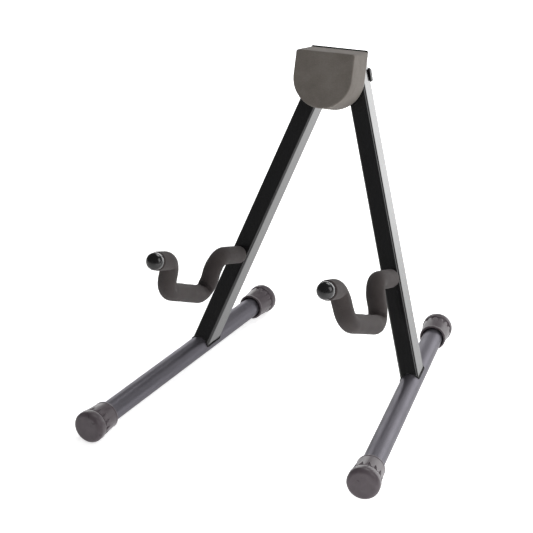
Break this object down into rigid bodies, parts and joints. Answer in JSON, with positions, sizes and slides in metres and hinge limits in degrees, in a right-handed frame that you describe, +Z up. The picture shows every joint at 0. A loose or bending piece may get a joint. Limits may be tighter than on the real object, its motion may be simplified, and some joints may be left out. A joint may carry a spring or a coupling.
{
  "type": "guitar stand",
  "caption": "Folding A-frame floor stand: hinged rectangular tube legs under a padded head, round feet with rubber caps, and bent cradle arms in foam sleeves.",
  "frame": {"origin": "on the floor under the middle of the stand's outline", "axes": "+Z up, -Y towards the player's side, where the cradle arms reach, +X to the right of someone looking at the front along +Y"},
  "size_m": [0.354, 0.4102, 0.383],
  "materials": {
    "head_foam": "matte closed-cell foam, dark warm grey, open cut face",
    "sleeve_foam": "matte closed-cell foam sleeve, brown-black",
    "black_steel": "gloss black powder coat",
    "grey_steel": "semi-gloss dark metallic grey",
    "rubber": "moulded rubber, satin",
    "tip_plastic": "glossy black moulded plastic",
    "plug_plastic": "matte black moulded plastic",
    "zinc": "zinc-plated steel"
  },
  "bodies": {
    "head": {"head_pad": "head_foam", "front_plate": "black_steel", "rear_bracket": "black_steel", "bolt_centre": "zinc", "washer_centre": "zinc", "nut_centre": "zinc", "bolt_left": "zinc", "washer_left": "zinc", "nut_left": "zinc", "bolt_right": "zinc", "washer_right": "zinc", "nut_right": "zinc", "spacer_centre": "zinc", "bush_left": "zinc", "bush_right": "zinc"},
    "leg_left": {"leg_tube_left": "black_steel", "leg_plug_left": "plug_plastic", "foot_tube_left": "grey_steel", "foot_cap_front_left": "rubber", "foot_cap_rear_left": "rubber", "arm_rod_left": "zinc", "arm_sleeve_left": "sleeve_foam", "arm_tip_left": "tip_plastic"},
    "leg_right": {"leg_tube_right": "black_steel", "leg_plug_right": "plug_plastic", "foot_tube_right": "grey_steel", "foot_cap_front_right": "rubber", "foot_cap_rear_right": "rubber", "arm_rod_right": "zinc", "arm_sleeve_right": "sleeve_foam", "arm_tip_right": "tip_plastic"}
  },
  "joints": [
    {"name": "leg_fold_left", "type": "hinge", "parent": "head", "child": "leg_left", "pos_m": [-0.0181, 0.15678, 0.34767], "axis": [0, -0.9505, 0.3107], "range_deg": [0, 18.3]},
    {"name": "leg_fold_right", "type": "hinge", "parent": "head", "child": "leg_right", "pos_m": [0.0181, 0.15678, 0.34767], "axis": [0, 0.9505, -0.3107], "range_deg": [0, 18.3]}
  ]
}
